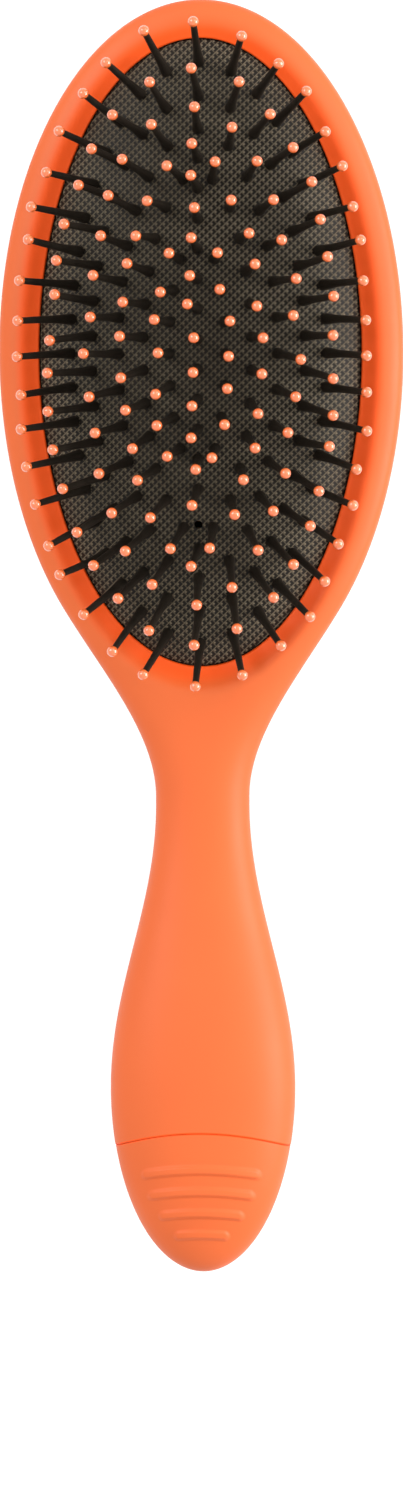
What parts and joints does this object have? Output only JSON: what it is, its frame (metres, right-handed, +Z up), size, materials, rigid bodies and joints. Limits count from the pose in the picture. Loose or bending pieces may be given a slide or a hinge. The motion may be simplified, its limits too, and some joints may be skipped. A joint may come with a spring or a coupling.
{
  "type": "detangling hair brush",
  "caption": "Oval cushion hair brush with ball-tipped pins on an air cushion, a slim neck and a hollow handle closed by a ribbed pull-off cap.",
  "frame": {"origin": "centre of the whole brush on the surface that it rests on, under its back", "axes": "+X across the head, +Y along the brush from the tail of the handle to the toe of the head, +Z up from the back through the pins"},
  "size_m": [0.0724, 0.2284, 0.0408],
  "materials": {
    "soft_touch_orange": "matt rubberised coat",
    "cushion_rubber": "moulded fabric-like diamond texture",
    "black_nylon": "satin",
    "orange_tip": "semi-gloss",
    "grey_plug": "moulded satin",
    "ring_rubber": "smooth"
  },
  "bodies": {
    "brush": {"brush_body": "soft_touch_orange", "cushion": "cushion_rubber"},
    "centre_row": {"pins_centre_row": "black_nylon", "tips_centre_row": "orange_tip"},
    "ring_5": {"pins_ring_5": "black_nylon", "tips_ring_5": "orange_tip"},
    "ring_4": {"pins_ring_4": "black_nylon", "tips_ring_4": "orange_tip"},
    "ring_3": {"pins_ring_3": "black_nylon", "tips_ring_3": "orange_tip"},
    "ring_2": {"pins_ring_2": "black_nylon", "tips_ring_2": "orange_tip"},
    "ring_1": {"pins_ring_1": "black_nylon", "tips_ring_1": "orange_tip"},
    "cap": {"end_cap": "soft_touch_orange", "cap_plug": "grey_plug", "cap_friction_ring": "ring_rubber"}
  },
  "joints": [
    {"name": "cushion_press", "type": "slide", "parent": "brush", "child": "centre_row", "axis": [0, 0, -1], "range_m": [0, 0.0027], "stiffness_N_per_m": 900, "deforming": ["cushion"]},
    {"name": "ring_5_sink", "type": "slide", "parent": "brush", "child": "ring_5", "axis": [0, 0, -1], "range_m": [0, 0.0029], "stiffness_N_per_m": 200},
    {"name": "ring_4_sink", "type": "slide", "parent": "brush", "child": "ring_4", "axis": [0, 0, -1], "range_m": [0, 0.0026], "stiffness_N_per_m": 200},
    {"name": "ring_3_sink", "type": "slide", "parent": "brush", "child": "ring_3", "axis": [0, 0, -1], "range_m": [0, 0.0023], "stiffness_N_per_m": 200},
    {"name": "ring_2_sink", "type": "slide", "parent": "brush", "child": "ring_2", "axis": [0, 0, -1], "range_m": [0, 0.0018], "stiffness_N_per_m": 200},
    {"name": "ring_1_sink", "type": "slide", "parent": "brush", "child": "ring_1", "axis": [0, 0, -1], "range_m": [0, 0.0012], "stiffness_N_per_m": 200},
    {"name": "cap_pull", "type": "slide", "parent": "brush", "child": "cap", "axis": [0, -1, 0], "range_m": [0, 0.03]}
  ],
  "couplings": [
    {"joint": "ring_5_sink", "follows": "cushion_press", "ratio": 1.063},
    {"joint": "ring_4_sink", "follows": "cushion_press", "ratio": 0.954},
    {"joint": "ring_3_sink", "follows": "cushion_press", "ratio": 0.821},
    {"joint": "ring_2_sink", "follows": "cushion_press", "ratio": 0.643},
    {"joint": "ring_1_sink", "follows": "cushion_press", "ratio": 0.424}
  ]
}
